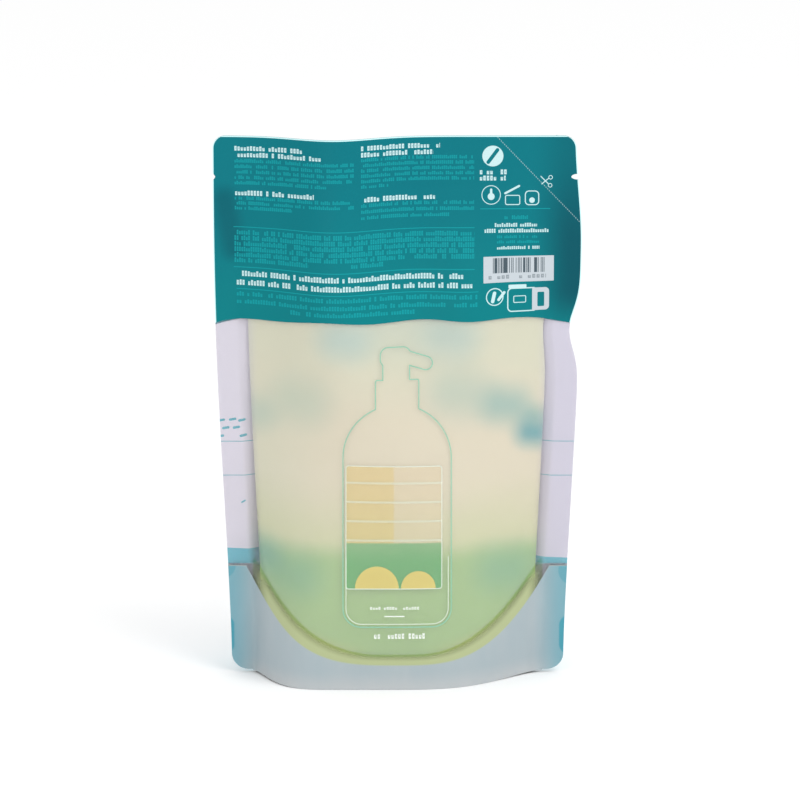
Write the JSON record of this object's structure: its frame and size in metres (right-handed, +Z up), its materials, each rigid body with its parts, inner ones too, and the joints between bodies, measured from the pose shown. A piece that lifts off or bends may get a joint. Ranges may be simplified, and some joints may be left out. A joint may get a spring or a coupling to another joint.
{
  "type": "hand soap refill pack",
  "caption": "Stand-up film pouch filled with liquid soap: heat-sealed sides and top, tear notches, and a folded gusset base it stands on.",
  "frame": {"origin": "middle of the base, on the surface the pouch stands on", "axes": "+Z up, -Y the way the back web with the small print faces, +X to the right of someone reading it"},
  "size_m": [0.1599, 0.0632, 0.239],
  "materials": {
    "printed_film": "satin translucent film with a teal printed band",
    "front_film": "satin translucent film, printed",
    "clear_film": "satin translucent film, unprinted",
    "soap": "pale yellow-green liquid"
  },
  "bodies": {
    "root": {"back_panel": "printed_film", "front_panel": "front_film", "bottom_gusset": "clear_film", "liquid_soap": "soap"}
  },
  "joints": []
}
